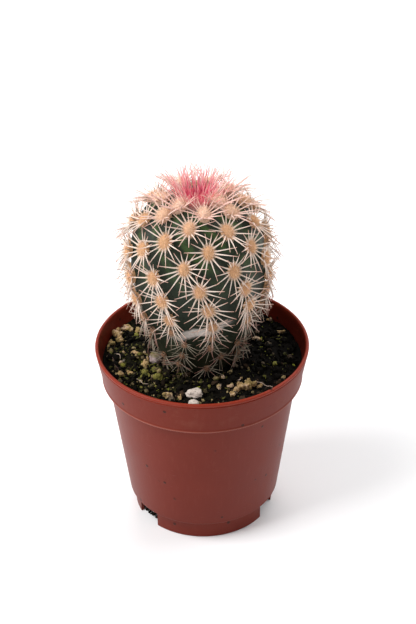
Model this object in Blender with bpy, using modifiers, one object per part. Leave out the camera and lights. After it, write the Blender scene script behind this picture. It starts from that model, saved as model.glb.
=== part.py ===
"""A young round cactus in a small plastic nursery pot.

The origin is the middle of the pot's foot, +Z is up and -Y is the front. The pot is one moulded
shell, filled with potting soil. The stem stands in a pocket in the soil, a little left of and
behind the middle. Its ribs wind round it, each with a row of areoles: a felt pad with a comb of
spines around it. A tuft of young spines crowns the growing point, and a few loose grains lie on
the soil. Pieces that touch keep a gap of about 0.3 mm.
"""

import math
import random

import bmesh
import bpy
from mathutils import Matrix, Vector, noise

MM = 0.001
GAP = 0.35 * MM

# Pot
POT_HEIGHT = 50.0 * MM
RIM_RADIUS = 27.5 * MM
LIP_HEIGHT = 1.1 * MM
COLLAR_TOP_RADIUS = 27.3 * MM
COLLAR_FOOT_RADIUS = 25.95 * MM
COLLAR_FOOT = 40.4 * MM
BODY_TOP = 39.3 * MM
BODY_TOP_RADIUS = 24.35 * MM
BODY_FOOT = 5.6 * MM
BODY_FOOT_RADIUS = 19.95 * MM
SKIRT_RADIUS = 18.5 * MM
SKIRT_TOP = 4.9 * MM
WALL = 0.85 * MM
FLOOR_TOP = 6.1 * MM
FLOOR_BOTTOM = 5.1 * MM
POT_STEPS = 72

# Drain openings: a notch in the skirt, and a slot in the floor behind it
DRAINS = 3
FIRST_DRAIN = math.radians(-54.0)
NOTCH_WIDTH = 7.6 * MM
NOTCH_TOP = 4.7 * MM
SLOT_WIDTH = 5.6 * MM
SLOT_INNER = 12.5 * MM
SLOT_OUTER = 17.0 * MM

# Soil
SOIL_TOP = 45.0 * MM
SOIL_FALL = 0.25 * MM
SOIL_ROUGHNESS = 0.35 * MM
SOIL_GRAIN = 4.5 * MM
SOIL_STEPS = 48

# Stem
STEM_X = -0.75 * MM
STEM_Y = 2.2 * MM
STEM_RADIUS = 17.5 * MM
WAIST = 72.0 * MM
CROWN_HEIGHT = 18.8 * MM
CROWN_POWER = 2.0 / 2.75
NECK_HEIGHT = 27.0 * MM
NECK_LOSS = 8.0 * MM
NECK_POWER = 1.5
STEM_FOOT = 42.6 * MM
STEM_STEPS = 60
RING_SPACING = 2.5 * MM

# Ribs wind round the stem, most of all near the tip
RIBS = 10
RIB_DEPTH = 1.5 * MM
RIB_START = 4.0 * MM
RIB_FULL = 16.0 * MM
RIB_FADE = 42.0 * MM
RIB_END = 53.0 * MM
RIB_AZIMUTH = math.radians(19.0)
RIB_WIND = math.radians(172.0)
RIB_UNWIND = 12.0 * MM

# Areoles: each rib's row starts a little further down than its neighbour's on the left
PITCH = 5.65 * MM
FIRST_AREOLE = 4.6 * MM
RIB_SHIFT = 0.3
TOP_ROW = 0.78
AREOLES_PER_RIB = 5
PAD_WIDTH = 3.0 * MM
PAD_LENGTH = 4.0 * MM
PAD_EDGE = 0.42 * MM
PAD_CROWN = 0.75 * MM
SPINES = 12
SPINE_REACH = 5.4 * MM
SPINE_RISE = 0.22
SPINE_CLEARANCE = 0.22 * MM
TUFT_EDGE = 5.6 * MM

# Crown tuft
TUFT_STEPS = 20
TUFT_RINGS = 5
TUFT_PAD = 0.7 * MM
TUFT_MIDDLE_SPINE = 9.1 * MM
TUFT_EDGE_SPINE = 6.6 * MM
TUFT_SPLAY = 0.42
TUFT_VARIATION = 0.14
TUFT_SEED = 7


def clear_scene():
    for item in list(bpy.data.objects):
        bpy.data.objects.remove(item, do_unlink=True)


def new_collection(name, hidden=False):
    group = bpy.data.collections.new(name)
    group.hide_render = hidden
    bpy.context.scene.collection.children.link(group)
    return group


def material(name, colour, roughness, metallic=0.0):
    made = bpy.data.materials.new(name)
    made.use_nodes = True
    shader = made.node_tree.nodes["Principled BSDF"]
    shader.inputs["Base Color"].default_value = (*colour, 1.0)
    shader.inputs["Roughness"].default_value = roughness
    shader.inputs["Metallic"].default_value = metallic
    return made


def add_object(name, mesh, group, finish=None):
    item = bpy.data.objects.new(name, mesh)
    group.objects.link(item)
    if finish:
        mesh.materials.append(finish)
    return item


def mesh_from(name, bm):
    mesh = bpy.data.meshes.new(name)
    bm.to_mesh(mesh)
    bm.free()
    return mesh


def shade_round(mesh, sharp=35.0):
    mesh.shade_smooth()
    mesh.set_sharp_from_angle(angle=math.radians(sharp))


def evaluated_copy(item):
    """The item's mesh with its modifiers applied; the item itself is removed."""
    bpy.context.view_layer.update()
    graph = bpy.context.evaluated_depsgraph_get()
    mesh = bpy.data.meshes.new_from_object(item.evaluated_get(graph))
    bpy.data.objects.remove(item, do_unlink=True)
    return mesh


def outline_mesh(name, points):
    """An open outline in the XZ plane, given as (radius, height) points."""
    bm = bmesh.new()
    corners = [bm.verts.new((radius, 0.0, height)) for radius, height in points]
    for start, end in zip(corners, corners[1:]):
        bm.edges.new((start, end))
    return mesh_from(name, bm)


def turned(name, points, steps, group, finish=None):
    """A solid turned about Z from an outline that runs down its outer side."""
    item = add_object(name, outline_mesh(name, points), group, finish)
    screw = item.modifiers.new("turn", "SCREW")
    screw.steps = steps
    screw.render_steps = steps
    screw.use_merge_vertices = True
    screw.merge_threshold = 0.00001
    screw.use_smooth_shade = True
    return item


def cut(item, cutter, name):
    boolean = item.modifiers.new(name, "BOOLEAN")
    boolean.operation = "DIFFERENCE"
    boolean.solver = "EXACT"
    boolean.object = cutter


def hide_cutter(item):
    item.hide_render = True
    item.display_type = "WIRE"
    return item


def block(name, low, high, azimuth, group):
    """A cutter block between two corners (outward, sideways, up), turned to an azimuth."""
    low = Vector(low)
    high = Vector(high)
    bm = bmesh.new()
    bmesh.ops.create_cube(bm, size=1.0)
    bmesh.ops.scale(bm, vec=high - low, verts=bm.verts)
    bmesh.ops.translate(bm, vec=(low + high) / 2.0, verts=bm.verts)
    bmesh.ops.rotate(bm, matrix=Matrix.Rotation(azimuth - math.pi / 2.0, 3, "Z"), verts=bm.verts)
    return hide_cutter(add_object(name, mesh_from(name, bm), group))


def smooth_step(low, high, value):
    share = min(1.0, max(0.0, (value - low) / (high - low)))
    return share * share * (3.0 - 2.0 * share)


# ---------------------------------------------------------------- pot


def wall_radius(height):
    """The outer radius of the pot's tapered body."""
    share = (height - BODY_FOOT) / (BODY_TOP - BODY_FOOT)
    return BODY_FOOT_RADIUS + share * (BODY_TOP_RADIUS - BODY_FOOT_RADIUS)


def collar_radius(height):
    """The outer radius of the wider collar under the rim."""
    share = (height - COLLAR_FOOT) / (POT_HEIGHT - LIP_HEIGHT - COLLAR_FOOT)
    return COLLAR_FOOT_RADIUS + share * (COLLAR_TOP_RADIUS - COLLAR_FOOT_RADIUS)


def lip_points(turns=6):
    """The rounded bead on the rim, from its inner side over the top to its outer side."""
    middle = RIM_RADIUS - 0.45 * MM
    level = POT_HEIGHT - 0.45 * MM
    points = []
    for turn in range(turns + 1):
        angle = math.pi * (1.0 - turn / turns)
        points.append((middle + 0.45 * MM * math.cos(angle), level + 0.45 * MM * math.sin(angle)))
    return points


def pot_outline():
    inner_step = COLLAR_FOOT + 0.6 * MM
    inner_ledge = BODY_TOP + 0.6 * MM
    inside = [
        (0.0, FLOOR_TOP),
        (wall_radius(FLOOR_TOP) - WALL - 0.9 * MM, FLOOR_TOP),
        (wall_radius(FLOOR_TOP) - WALL, FLOOR_TOP + 0.7 * MM),
        (wall_radius(inner_ledge) - WALL, inner_ledge),
        (collar_radius(inner_step) - WALL, inner_step),
        (collar_radius(POT_HEIGHT - 2.0 * MM) - WALL, POT_HEIGHT - 2.0 * MM),
    ]
    outside = [
        (COLLAR_TOP_RADIUS, POT_HEIGHT - LIP_HEIGHT),
        (COLLAR_FOOT_RADIUS, COLLAR_FOOT),
        (COLLAR_FOOT_RADIUS - 0.35 * MM, COLLAR_FOOT - 0.35 * MM),
        (BODY_TOP_RADIUS + 0.25 * MM, BODY_TOP + 0.3 * MM),
        (BODY_TOP_RADIUS, BODY_TOP),
        (BODY_FOOT_RADIUS, BODY_FOOT),
        (BODY_FOOT_RADIUS - 0.35 * MM, BODY_FOOT - 0.4 * MM),
        (SKIRT_RADIUS, SKIRT_TOP),
        (SKIRT_RADIUS, 0.3 * MM),
        (SKIRT_RADIUS - 0.2 * MM, 0.0),
        (SKIRT_RADIUS - WALL, 0.0),
        (SKIRT_RADIUS - WALL, FLOOR_BOTTOM - 0.4 * MM),
        (SKIRT_RADIUS - WALL - 0.4 * MM, FLOOR_BOTTOM),
        (0.0, FLOOR_BOTTOM),
    ]
    return inside + lip_points() + outside


def make_pot(parts, cutters):
    plastic = material("pot_plastic", (0.26, 0.055, 0.035), 0.42)
    pot = turned("pot", pot_outline(), POT_STEPS, parts, plastic)
    for number in range(DRAINS):
        azimuth = FIRST_DRAIN + number * 2.0 * math.pi / DRAINS
        half = NOTCH_WIDTH / 2.0
        notch = block(
            f"skirt_notch_{number + 1}",
            (SLOT_OUTER - 1.0 * MM, -half, -1.0 * MM),
            (SKIRT_RADIUS + 2.0 * MM, half, NOTCH_TOP),
            azimuth,
            cutters,
        )
        half = SLOT_WIDTH / 2.0
        slot = block(
            f"floor_slot_{number + 1}",
            (SLOT_INNER, -half, FLOOR_BOTTOM - 1.0 * MM),
            (SLOT_OUTER, half, FLOOR_TOP + 1.0 * MM),
            azimuth,
            cutters,
        )
        cut(pot, notch, notch.name)
        cut(pot, slot, slot.name)
    return pot


# ---------------------------------------------------------------- stem


def stem_meridian(steps=160):
    """Fine points (radius, height, arc length from the tip) down the side of the stem."""
    points = [(0.0, WAIST + CROWN_HEIGHT, 0.0)]
    for step in range(1, steps + 1):
        angle = 0.5 * math.pi * (1.0 - step / steps)
        radius = STEM_RADIUS * math.cos(angle) ** CROWN_POWER
        height = WAIST + CROWN_HEIGHT * math.sin(angle) ** CROWN_POWER
        points.append(next_point(points[-1], radius, height))
    for step in range(1, steps + 1):
        share = step / steps
        radius = STEM_RADIUS - NECK_LOSS * share**NECK_POWER
        points.append(next_point(points[-1], radius, WAIST - NECK_HEIGHT * share))
    return points


def next_point(last, radius, height):
    return radius, height, last[2] + math.hypot(radius - last[0], height - last[1])


MERIDIAN = stem_meridian()
STEM_LENGTH = MERIDIAN[-1][2]


def stem_point(arc):
    """Radius and height of the stem's crest line at an arc length from the tip."""
    for start, end in zip(MERIDIAN, MERIDIAN[1:]):
        if end[2] >= arc:
            share = (arc - start[2]) / (end[2] - start[2])
            return start[0] + share * (end[0] - start[0]), start[1] + share * (end[1] - start[1])
    return MERIDIAN[-1][:2]


def rib_turn(arc):
    """How far a rib has wound round the stem at an arc length from the tip."""
    return RIB_AZIMUTH - RIB_WIND * math.exp(-arc / RIB_UNWIND)


def rib_depth(arc):
    grown = smooth_step(RIB_START, RIB_FULL, arc)
    return RIB_DEPTH * grown * (1.0 - smooth_step(RIB_FADE, RIB_END, arc))


def stem_frame(arc, azimuth, lift=0.0):
    """A place on the stem: X sideways, Y up the stem, Z out of the skin."""
    step = 0.2 * MM
    above = Vector(stem_point(max(0.0, arc - step)))
    below = Vector(stem_point(arc + step))
    down = (below - above).normalized()
    outward = Vector((math.sin(azimuth), -math.cos(azimuth), 0.0))
    sideways = Vector((math.cos(azimuth), math.sin(azimuth), 0.0))
    up = -(outward * down.x + Vector((0.0, 0.0, down.y)))
    normal = sideways.cross(up)
    radius, height = stem_point(arc)
    place = outward * radius + Vector((STEM_X, STEM_Y, height)) + normal * lift
    frame = Matrix((sideways, up, normal)).transposed().to_4x4()
    frame.translation = place
    return frame


def make_stem(parts):
    rings = round(STEM_LENGTH / RING_SPACING)
    arcs = [STEM_LENGTH * ring / rings for ring in range(rings + 1)]
    points = [stem_point(arc) for arc in arcs]
    foot_radius = points[-1][0]
    points += [
        (foot_radius - 0.3 * MM, STEM_FOOT + 1.3 * MM),
        (foot_radius - 1.6 * MM, STEM_FOOT + 0.3 * MM),
        (foot_radius * 0.5, STEM_FOOT),
        (0.0, STEM_FOOT),
    ]
    mesh = evaluated_copy(turned("stem_blank", points, STEM_STEPS, parts))
    arc_at = {round(point[1] / MM, 3): arc for point, arc in zip(points, arcs)}
    for vertex in mesh.vertices:
        arc = arc_at.get(round(vertex.co.z / MM, 3))
        radius = math.hypot(vertex.co.x, vertex.co.y)
        if arc is None or radius < GAP:
            continue
        azimuth = math.atan2(vertex.co.x, -vertex.co.y)
        crest = abs(math.cos(0.5 * RIBS * (azimuth - rib_turn(arc))))
        share = (radius - rib_depth(arc) * (1.0 - crest)) / radius
        vertex.co.x *= share
        vertex.co.y *= share
    mesh.transform(Matrix.Translation((STEM_X, STEM_Y, 0.0)))
    mesh.name = "stem"
    shade_round(mesh, 60.0)
    skin = material("cactus_skin", (0.028, 0.06, 0.022), 0.55)
    return add_object("stem", mesh, parts, skin)


# ---------------------------------------------------------------- soil


def soil_height(x, y):
    """The soil's surface falls a little to the right and is rough."""
    rough = noise.noise(Vector((x, y, 0.0)) / SOIL_GRAIN)
    return SOIL_TOP - SOIL_FALL * x / RIM_RADIUS + SOIL_ROUGHNESS * rough


def make_soil(parts, cutters):
    edge = collar_radius(SOIL_TOP) - WALL - GAP
    bottom = FLOOR_TOP + GAP
    surface = [(edge * share / 8.0, SOIL_TOP) for share in range(9)]
    side = [
        (collar_radius(COLLAR_FOOT + 0.8 * MM) - WALL - GAP, COLLAR_FOOT + 0.85 * MM),
        (wall_radius(BODY_TOP) - WALL - GAP, BODY_TOP + 0.6 * MM),
        (wall_radius(bottom + 0.7 * MM) - WALL - GAP, bottom + 0.8 * MM),
        (wall_radius(bottom) - WALL - 1.2 * MM, bottom),
        (0.0, bottom),
    ]
    mesh = evaluated_copy(turned("soil_blank", surface + side, SOIL_STEPS, parts))
    for vertex in mesh.vertices:
        if abs(vertex.co.z - SOIL_TOP) < 0.01 * MM:
            vertex.co.z = soil_height(vertex.co.x, vertex.co.y)
    mesh.name = "soil"
    shade_round(mesh)
    peat = material("potting_soil", (0.012, 0.009, 0.007), 0.95)
    soil = add_object("soil", mesh, parts, peat)
    neck = [stem_point(STEM_LENGTH - 4.0 * MM), MERIDIAN[-1][:2]]
    outline = [(0.0, neck[0][1])] + [(radius + GAP, height) for radius, height in neck]
    outline += [(neck[1][0] + GAP, STEM_FOOT - GAP), (0.0, STEM_FOOT - GAP)]
    pocket = hide_cutter(turned("stem_pocket", outline, SOIL_STEPS, cutters))
    pocket.location = (STEM_X, STEM_Y, 0.0)
    cut(soil, pocket, "stem_pocket")
    return soil


# ---------------------------------------------------------------- areoles


def areole_places():
    """(rib, row, arc length, azimuth) of each areole down to the shoulder of the stem."""
    places = []
    for rib in range(RIBS):
        for row in range(AREOLES_PER_RIB):
            count = row + (RIB_SHIFT * rib - TOP_ROW) % 1.0 + TOP_ROW
            arc = FIRST_AREOLE + PITCH * count
            azimuth = rib_turn(arc) + rib * 2.0 * math.pi / RIBS
            places.append((rib + 1, row + 1, arc, azimuth))
    return places


def spine_reach(frame, direction, neighbours):
    """How far a spine may run before it meets the middle between its areole and the next."""
    reach = SPINE_REACH
    for other in neighbours:
        towards = other - frame.translation
        lean = direction.dot(towards.normalized())
        if lean > 0.05:
            reach = min(reach, (towards.length / 2.0 - SPINE_CLEARANCE) / lean)
    return reach


def areole_mesh(name, frame, neighbours):
    """A domed pad whose every second side face is drawn out into a spine."""
    bm = bmesh.new()
    bmesh.ops.create_cone(
        bm, cap_ends=True, segments=2 * SPINES, radius1=1.0, radius2=0.92, depth=PAD_EDGE
    )
    bmesh.ops.scale(bm, vec=(PAD_WIDTH / 2.0, PAD_LENGTH / 2.0, 1.0), verts=bm.verts)
    bmesh.ops.translate(bm, vec=(0.0, 0.0, PAD_EDGE / 2.0), verts=bm.verts)
    top = [face for face in bm.faces if face.normal.z > 0.9]
    raised = bmesh.ops.poke(bm, faces=top)["verts"]
    for vertex in raised:
        vertex.co.z += PAD_CROWN
    sides = [face for face in bm.faces if abs(face.normal.z) < 0.5 and len(face.verts) == 4]
    sides.sort(key=lambda face: math.atan2(face.calc_center_median().y, face.calc_center_median().x))
    for face in sides[::2]:
        middle = face.calc_center_median()
        direction = Vector((middle.x, middle.y, 0.0)).normalized()
        direction.z = SPINE_RISE
        direction.normalize()
        reach = spine_reach(frame, frame.to_3x3() @ direction, neighbours)
        tip = bmesh.ops.poke(bm, faces=[face])["verts"][0]
        tip.co = direction * reach
        tip.co.z += PAD_EDGE / 2.0
    bmesh.ops.triangulate(bm, faces=bm.faces)
    mesh = mesh_from(name, bm)
    mesh.transform(frame)
    return mesh


def make_areoles(parts):
    felt = material("areole_spines", (0.62, 0.38, 0.22), 0.8)
    places = areole_places()
    frames = [stem_frame(arc, azimuth, GAP) for _, _, arc, azimuth in places]
    for index, (rib, row, _, azimuth) in enumerate(places):
        near = [frame.translation for number, frame in enumerate(frames) if number != index]
        near.append(stem_frame(TUFT_EDGE - 2.2 * MM, azimuth, GAP).translation)
        name = f"spines_rib{rib:02d}_row{row}"
        mesh = areole_mesh(name, frames[index], near)
        add_object(name, mesh, parts, felt)


def make_tuft(parts):
    """The tuft of young spines: a cap on the tip of the stem, each face drawn to a point."""
    arcs = [TUFT_EDGE * ring / TUFT_RINGS for ring in range(TUFT_RINGS + 1)]
    points = [(stem_point(arc)[0], stem_point(arc)[1] + GAP) for arc in arcs]
    blank = turned("tuft_blank", points, TUFT_STEPS, parts)
    shell = blank.modifiers.new("pad", "SOLIDIFY")
    shell.thickness = TUFT_PAD
    shell.offset = 1.0
    mesh = evaluated_copy(blank)
    bm = bmesh.new()
    bm.from_mesh(mesh)
    bpy.data.meshes.remove(mesh)
    random.seed(TUFT_SEED)
    tip_height = WAIST + CROWN_HEIGHT
    faces = [face for face in bm.faces if face.normal.z > 0.5]
    faces.sort(key=lambda face: tuple(round(value / MM, 3) for value in face.calc_center_median()))
    for face in faces:
        middle = face.calc_center_median()
        radius = math.hypot(middle.x, middle.y)
        share = radius / TUFT_EDGE
        length = TUFT_MIDDLE_SPINE + share * (TUFT_EDGE_SPINE - TUFT_MIDDLE_SPINE)
        length *= 1.0 - TUFT_VARIATION * random.random()
        splay = TUFT_SPLAY * share
        direction = Vector((middle.x / radius * splay, middle.y / radius * splay, 1.0)).normalized()
        point = bmesh.ops.poke(bm, faces=[face])["verts"][0]
        point.co = Vector((middle.x, middle.y, tip_height)) + direction * length
    bmesh.ops.triangulate(bm, faces=bm.faces)
    bmesh.ops.recalc_face_normals(bm, faces=bm.faces)
    mesh = mesh_from("crown_tuft", bm)
    mesh.transform(Matrix.Translation((STEM_X, STEM_Y, 0.0)))
    pink = material("young_spines", (0.72, 0.16, 0.22), 0.7)
    return add_object("crown_tuft", mesh, parts, pink)


# ---------------------------------------------------------------- loose grains


def make_grain(name, place, size, roughness, seed, finish, parts, detail=2):
    """A lump of the given size (x, y, z) that rests on the soil at a place (x, y)."""
    bm = bmesh.new()
    bmesh.ops.create_icosphere(bm, subdivisions=detail, radius=0.5)
    shift = Vector((seed * 3.7, seed * 1.9, seed * 2.3))
    for vertex in bm.verts:
        swell = 1.0 + roughness * noise.noise(vertex.co * 3.2 + shift)
        vertex.co = Vector(tuple(c * s for c, s in zip(vertex.co * swell, size)))
        vertex.co.z = max(vertex.co.z, -0.3 * size[2])
    low = min(vertex.co.z for vertex in bm.verts)
    rest = max(soil_height(place[0] + v.co.x, place[1] + v.co.y) for v in bm.verts)
    bmesh.ops.translate(bm, vec=(place[0], place[1], rest + GAP - low), verts=bm.verts)
    mesh = mesh_from(name, bm)
    mesh.shade_smooth()
    return add_object(name, mesh, parts, finish)


def make_grains(parts):
    perlite = material("perlite", (0.66, 0.58, 0.5), 0.85)
    crust = material("mineral_crust", (0.5, 0.36, 0.16), 0.9)
    moss = material("moss", (0.24, 0.26, 0.04), 0.95)
    stone = material("pink_stone", (0.42, 0.33, 0.27), 0.8)
    rows = (
        ("perlite_large", (-1.2, -16.0), (4.3, 3.2, 2.7), 0.35, 1, perlite, 2),
        ("perlite_small", (-2.3, -20.8), (2.6, 2.2, 2.0), 0.35, 2, perlite, 2),
        ("crust_front", (10.4, -13.9), (7.4, 3.6, 3.0), 0.7, 3, crust, 3),
        ("crust_left", (-19.6, 7.8), (5.2, 7.4, 2.6), 0.8, 4, crust, 3),
        ("moss_ball", (-11.5, -8.9), (2.8, 2.6, 2.3), 0.3, 5, moss, 2),
        ("pink_stone", (-12.6, -0.8), (2.9, 2.8, 3.2), 0.3, 6, stone, 2),
    )
    for name, place, size, roughness, seed, finish, detail in rows:
        place = [value * MM for value in place]
        size = [value * MM for value in size]
        make_grain(name, place, size, roughness, seed, finish, parts, detail)


def main():
    clear_scene()
    parts = new_collection("potted_round_cactus")
    cutters = new_collection("cutters", hidden=True)
    make_pot(parts, cutters)
    make_soil(parts, cutters)
    make_stem(parts)
    make_areoles(parts)
    make_tuft(parts)
    make_grains(parts)


main()
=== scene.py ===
# %% [markdown]
# # A young round cactus in a small nursery pot
#
# The plant is a young hedgehog cactus. A round green stem with ten low ribs stands in black
# peat, in a red-brown plastic pot of 55 mm. Combs of pale spines cover the ribs, and a tuft of
# pink young spines crowns the tip.
#
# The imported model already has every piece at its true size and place, but plain. It stays the
# measure here: each step reads the size of a piece from it, models that piece again with its
# fine shape, and says which plain piece the new one stands for.

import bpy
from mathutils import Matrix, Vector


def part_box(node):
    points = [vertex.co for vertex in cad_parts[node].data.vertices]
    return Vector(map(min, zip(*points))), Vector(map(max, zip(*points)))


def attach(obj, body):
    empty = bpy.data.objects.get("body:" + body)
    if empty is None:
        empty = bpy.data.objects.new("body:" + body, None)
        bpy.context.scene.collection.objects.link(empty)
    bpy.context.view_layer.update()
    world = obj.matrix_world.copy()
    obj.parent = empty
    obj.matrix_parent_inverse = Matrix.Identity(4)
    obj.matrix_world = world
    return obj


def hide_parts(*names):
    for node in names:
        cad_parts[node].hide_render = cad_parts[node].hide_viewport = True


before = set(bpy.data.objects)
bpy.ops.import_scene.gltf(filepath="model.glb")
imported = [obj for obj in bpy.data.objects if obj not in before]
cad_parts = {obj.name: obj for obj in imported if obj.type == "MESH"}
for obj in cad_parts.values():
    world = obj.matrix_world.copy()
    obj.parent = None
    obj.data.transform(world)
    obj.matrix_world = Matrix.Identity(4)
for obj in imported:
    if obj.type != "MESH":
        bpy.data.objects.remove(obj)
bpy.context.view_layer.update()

# %% Modules and the unit
import math
import random

import bmesh
import bpy
import numpy as np
from mathutils import Matrix, Vector
from mathutils.bvhtree import BVHTree

MM = 0.001
print("lengths are in metres, and MM is", MM)

# %% [markdown]
# ## Sizes
#
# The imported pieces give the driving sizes. The stem's outline is a round crown over a neck that
# narrows towards the soil. Everything on the stem is placed by two numbers: the arc, which is
# the way down the skin from the tip, and the azimuth, which is 0 at the front and grows
# towards the right.

# %% Sizes of the pot, the soil and the stem
pot_low, pot_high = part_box("pot")
stem_low, stem_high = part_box("stem")
SOIL_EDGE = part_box("soil")[1].x

RIM_RADIUS = (pot_high.x - pot_low.x) / 2.0
RIM_HEIGHT = pot_high.z
SOIL_DEPTH = 5.0 * MM
SOIL_HEIGHT = RIM_HEIGHT - SOIL_DEPTH
STEM_AXIS = Vector([round(side, 5) for side in (stem_low + stem_high) / 2.0])
STEM_AXIS.z = 0.0
STEM_TIP = stem_high.z
STEM_RADIUS = 17.5 * MM
WAIST = STEM_TIP - 18.8 * MM
NECK_RADIUS = 9.5 * MM
print("rim radius", round(RIM_RADIUS, 4), "stem tip at", round(STEM_TIP, 4))

# %% The stem's outline
CROWN_POWER = 2.0 / 2.75
NECK_POWER = 1.5


def stem_outline(steps=400):
    """Fine points (arc, radius, height) from the tip down to the soil."""
    turn = np.linspace(0.5 * np.pi, 0.0, steps)
    share = np.linspace(0.0, 1.0, steps)[1:]
    crown = STEM_RADIUS * np.cos(turn).clip(0.0) ** CROWN_POWER
    dome = WAIST + (STEM_TIP - WAIST) * np.sin(turn) ** CROWN_POWER
    neck = STEM_RADIUS - (STEM_RADIUS - NECK_RADIUS) * share**NECK_POWER
    radius = np.concatenate([crown, neck])
    height = np.concatenate([dome, WAIST - (WAIST - SOIL_HEIGHT) * share])
    run = np.hypot(np.diff(radius), np.diff(height)).cumsum()
    return np.concatenate([[0.0], run]), radius, height


OUTLINE = stem_outline()
STEM_LENGTH = float(OUTLINE[0][-1])
print("the skin runs", round(STEM_LENGTH / MM, 1), "mm from the tip to the soil")


# %% A place on the stem
def radius_at(arc):
    return float(np.interp(arc, OUTLINE[0], OUTLINE[1]))


def height_at(arc):
    return float(np.interp(arc, OUTLINE[0], OUTLINE[2]))


def skin_frame(arc, azimuth):
    """The axes at a place on the stem: X sideways, Y up the skin, Z out of it."""
    step = 0.2 * MM
    fall = height_at(arc + step) - height_at(max(0.0, arc - step))
    widen = radius_at(arc + step) - radius_at(max(0.0, arc - step))
    outward = Vector((math.sin(azimuth), -math.cos(azimuth), 0.0))
    sideways = Vector((math.cos(azimuth), math.sin(azimuth), 0.0))
    up = -(outward * widen + Vector((0.0, 0.0, fall))).normalized()
    axes = Matrix((sideways, up, sideways.cross(up))).transposed().to_4x4()
    axes.translation = STEM_AXIS + outward * radius_at(arc) + Vector((0.0, 0.0, height_at(arc)))
    return axes


print("10 mm down the skin the stem is", round(2.0 * radius_at(10.0 * MM) / MM, 1), "mm wide")


# %% [markdown]
# ## The camera and the studio
#
# The camera is set first, because the view decides how fine each piece has to be. It looks down
# on the pot from a little above, through a long lens, so the pot narrows only slightly.

# %% Camera
CAMERA_DISTANCE = 400.0 * MM
CAMERA_RISE = math.radians(34.39)
AIM = Vector((1.6 * MM, 0.0, RIM_HEIGHT + 9.0 * MM))
CAMERA_ROLL = math.radians(-0.54)
LENS = 89.8
SENSOR = 36.0

bpy.ops.object.select_all(action="DESELECT")
bpy.ops.object.camera_add()
camera = bpy.context.object
camera.name = "camera"
back = Vector((0.0, -math.cos(CAMERA_RISE), math.sin(CAMERA_RISE)))
stand = Vector((0.0, 0.0, RIM_HEIGHT)) + back * CAMERA_DISTANCE
turned_to = (AIM - stand).to_track_quat("-Z", "Y").to_matrix().to_4x4()
camera.matrix_world = Matrix.Translation(stand) @ turned_to @ Matrix.Rotation(CAMERA_ROLL, 4, "Z")
camera.data.lens = LENS
camera.data.sensor_width = SENSOR
camera.data.clip_start = 0.01
bpy.context.scene.camera = camera
print("camera stands at", [round(value, 3) for value in stand])

# %% [markdown]
# The studio is a white table in soft light. One large lamp on the left and above gives the
# shape and a faint shadow on the right, another fills in from the right, and a third lights
# the back. The air is a soft grey, so that the inside of the pot stays dark.

# %% Table
TABLE_SIZE = 6.0
bpy.ops.object.select_all(action="DESELECT")
bpy.ops.mesh.primitive_plane_add(size=TABLE_SIZE, location=(0.0, 0.0, pot_low.z - 0.02 * MM))
table = bpy.context.object
table.name = "table"
bpy.ops.object.transform_apply(location=True, rotation=True, scale=True)
print("table", TABLE_SIZE, "m wide")


# %% Lamps and air
AIR_STRENGTH = 0.33


def add_lamp(name, azimuth, rise, distance, size, power):
    """A square lamp that faces the plant. Azimuth 0 is the camera's side, 90 the right."""
    azimuth, rise = math.radians(azimuth), math.radians(rise)
    away = Vector((math.sin(azimuth), -math.cos(azimuth), 0.0)) * math.cos(rise)
    away.z = math.sin(rise)
    aim = Vector((0.0, 0.0, RIM_HEIGHT))
    bpy.ops.object.light_add(type="AREA", location=aim + away * distance)
    lamp = bpy.context.object
    lamp.name = name
    lamp.rotation_euler = (-away).to_track_quat("-Z", "Y").to_euler()
    lamp.data.size = size
    lamp.data.energy = power
    return lamp


add_lamp("lamp_left", -74.0, 46.0, 0.9, 0.55, 9.6)
add_lamp("lamp_right", 108.0, 38.0, 1.1, 0.8, 5.5)
add_lamp("lamp_back", 170.0, 50.0, 1.1, 0.9, 7.0)

scene = bpy.context.scene
scene.view_settings.view_transform = "Standard"
scene.world = bpy.data.worlds.new("studio_air")
scene.world.use_nodes = True
air = scene.world.node_tree.nodes["Background"]
air.inputs["Color"].default_value = (1.0, 1.0, 1.0, 1.0)
air.inputs["Strength"].default_value = AIR_STRENGTH
print("three lamps, and air of strength", AIR_STRENGTH)


# %% [markdown]
# ## Shader sums
#
# A finish that varies is a sum of patterns. The small class below wraps the output socket of a
# shader node, so that such a sum reads like Python: 1 - mask adds a Math node, and so does abs.
# Its node method adds any other kind of node, with the settings first and then the values or
# links of its sockets.


# %% A socket that can be used in sums
class Wire:
    """The output socket of a shader node."""

    def __init__(self, tree, socket=None):
        self.tree = tree
        self.socket = socket

    def node(self, kind, settings=None, inputs=None, output=0):
        made = self.tree.nodes.new(kind)
        for name, value in (settings or {}).items():
            setattr(made, name, value)
        for name, value in (inputs or {}).items():
            if isinstance(value, Wire):
                self.tree.links.new(value.socket, made.inputs[name])
            else:
                made.inputs[name].default_value = value
        return Wire(self.tree, made.outputs[output])

    def maths(self, operation, first, second=0.0):
        return self.node("ShaderNodeMath", {"operation": operation}, {0: first, 1: second})

    def __add__(self, other):
        return self.maths("ADD", self, other)

    def __radd__(self, other):
        return self.maths("ADD", other, self)

    def __sub__(self, other):
        return self.maths("SUBTRACT", self, other)

    def __rsub__(self, other):
        return self.maths("SUBTRACT", other, self)

    def __mul__(self, other):
        return self.maths("MULTIPLY", self, other)

    def __rmul__(self, other):
        return self.maths("MULTIPLY", other, self)

    def __abs__(self):
        return self.maths("ABSOLUTE", self)


print("sums with +, - and *, and abs")


# %% Short names for the patterns that the finishes share
def noise_at(place, scale, detail=3.0, roughness=0.55):
    """Soft clouds from 0 to 1; the scale is in clouds per unit of place."""
    inputs = {"Vector": place, "Scale": scale, "Detail": detail, "Roughness": roughness}
    return place.node("ShaderNodeTexNoise", {}, inputs)


def cells_at(place, scale):
    """How far it is to the nearest of many scattered points."""
    return place.node("ShaderNodeTexVoronoi", {}, {"Vector": place, "Scale": scale}, "Distance")


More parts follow.
